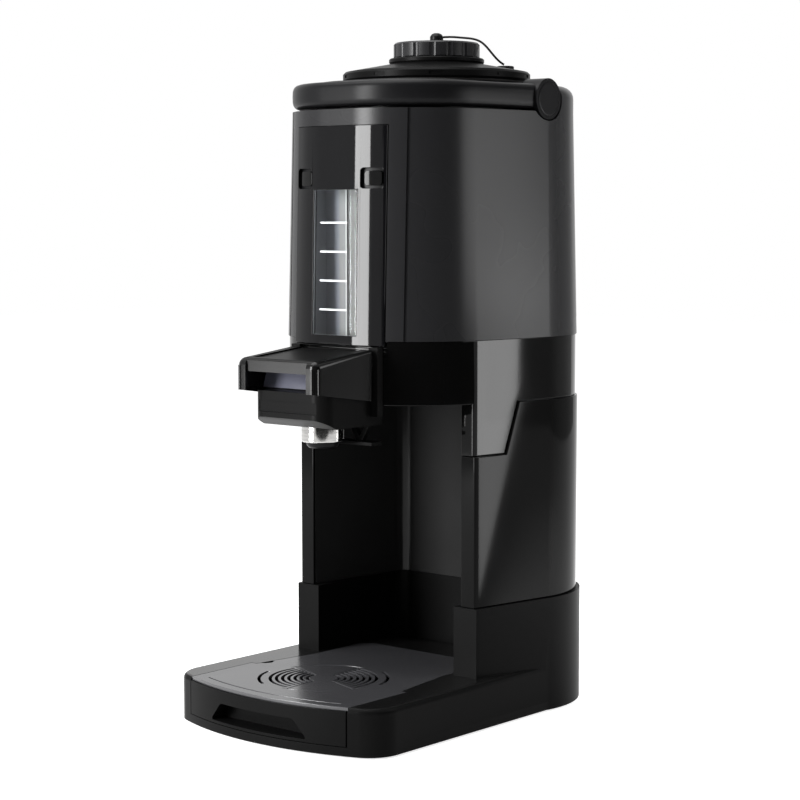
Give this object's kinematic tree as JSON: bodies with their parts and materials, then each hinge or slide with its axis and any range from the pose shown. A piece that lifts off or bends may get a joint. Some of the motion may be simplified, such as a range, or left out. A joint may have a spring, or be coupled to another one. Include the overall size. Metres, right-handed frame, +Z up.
{
  "type": "thermal drink dispenser",
  "caption": "Insulated gravity-feed drink dispenser on a stand, with a push-lever tap, level window, swing handle, screw fill cap and pull-out drip tray.",
  "frame": {"origin": "centre of the overall box on the surface that it stands on", "axes": "+Z up, -Y towards the tap, +X to the right of someone facing the tap"},
  "size_m": [0.242, 0.361, 0.6066],
  "materials": {
    "satin_black": "fine satin grain",
    "gloss_black": "polished",
    "body_black": "fine matte grain",
    "tray_grey": "matte",
    "inner_grey": "matte",
    "blue_black": "polished",
    "steel": "brushed",
    "chrome": "polished",
    "clear": "clear",
    "print_white": "printed",
    "rubber": "matte"
  },
  "bodies": {
    "stand": {"base_plate": "satin_black", "rubber_feet": "rubber", "base_screws": "steel", "stand_base": "satin_black", "stand_column": "gloss_black", "bay_liner": "satin_black", "stand_deck": "satin_black"},
    "drawer": {"drip_drawer": "satin_black"},
    "tray_cover": {"drip_cover": "tray_grey"},
    "container": {"lower_collar": "gloss_black", "container_floor": "satin_black", "floor_screws": "steel", "vessel_cradle": "satin_black", "body_shell": "body_black", "front_frame": "satin_black", "gauge_plate": "inner_grey", "sight_tube": "clear", "tube_seals": "rubber", "gauge_latches": "satin_black", "vessel_outer": "steel", "vessel_inner": "steel", "vessel_neck": "steel", "vessel_mouth": "steel", "shoulder_ring": "satin_black", "pivot_pins": "steel", "outlet_pipe": "steel", "outlet_nut": "steel", "tap_housing": "satin_black", "tap_bracket": "satin_black", "tap_plate": "blue_black", "chrome_nozzle": "chrome", "diffuser": "satin_black", "lever_pins": "steel"},
    "gauge": {"gauge_cover": "gloss_black", "gauge_window": "clear", "level_marks": "print_white"},
    "handle": {"carry_handle": "satin_black", "hub_caps": "satin_black"},
    "lid_lifter": {"lid_gasket": "rubber"},
    "lid_body": {"lid": "satin_black", "neck_insert": "satin_black", "tether_anchor": "satin_black", "tether": "rubber"},
    "cap_lifter": {"cap_knob": "satin_black"},
    "cap": {"fill_cap": "satin_black", "cap_gasket": "rubber"},
    "lever": {"push_lever": "gloss_black"},
    "valve": {"valve_stem": "steel", "valve_seal": "rubber", "return_spring": "steel"}
  },
  "joints": [
    {"name": "container_lift", "type": "slide", "parent": "stand", "child": "container", "axis": [0, 0, 1], "range_m": [0, 0.06]},
    {"name": "drawer_slide", "type": "slide", "parent": "stand", "child": "drawer", "axis": [0, -1, 0], "range_m": [0, 0.15]},
    {"name": "cover_lift", "type": "slide", "parent": "drawer", "child": "tray_cover", "axis": [0, 0, 1], "range_m": [0, 0.03]},
    {"name": "gauge_pull", "type": "slide", "parent": "container", "child": "gauge", "axis": [0, -1, 0], "range_m": [0, 0.03]},
    {"name": "handle_swing", "type": "hinge", "parent": "container", "child": "handle", "pos_m": [0, 0.0815, 0.545], "axis": [-1, 0, 0], "range_deg": [0, 92]},
    {"name": "lid_lift", "type": "slide", "parent": "container", "child": "lid_lifter", "axis": [0, 0, 1], "range_m": [0, 0.016]},
    {"name": "lid_turn", "type": "hinge", "parent": "lid_lifter", "child": "lid_body", "pos_m": [0, 0.0615, 0.56], "axis": [0, 0, 1], "range_deg": [0, 40]},
    {"name": "cap_lift", "type": "slide", "parent": "lid_body", "child": "cap_lifter", "axis": [0, 0, 1], "range_m": [0, 0.0095], "deforming": ["tether"]},
    {"name": "cap_turn", "type": "hinge", "parent": "cap_lifter", "child": "cap", "pos_m": [0, 0.0615, 0.59], "axis": [0, 0, 1], "range_deg": [0, 360]},
    {"name": "lever_press", "type": "hinge", "parent": "container", "child": "lever", "pos_m": [0, -0.0835, 0.29], "axis": [1, 0, 0], "range_deg": [0, 12], "stiffness_Nm_per_rad": 0.4, "springref_deg": -17.19},
    {"name": "valve_slide", "type": "slide", "parent": "container", "child": "valve", "axis": [0, 0, -1], "range_m": [0, 0.0026], "deforming": ["return_spring"]}
  ],
  "couplings": [
    {"joint": "cap_lift", "follows": "cap_turn", "m_per_rad": 0.0015},
    {"joint": "valve_slide", "follows": "lever_press", "m_per_rad": 0.012}
  ]
}
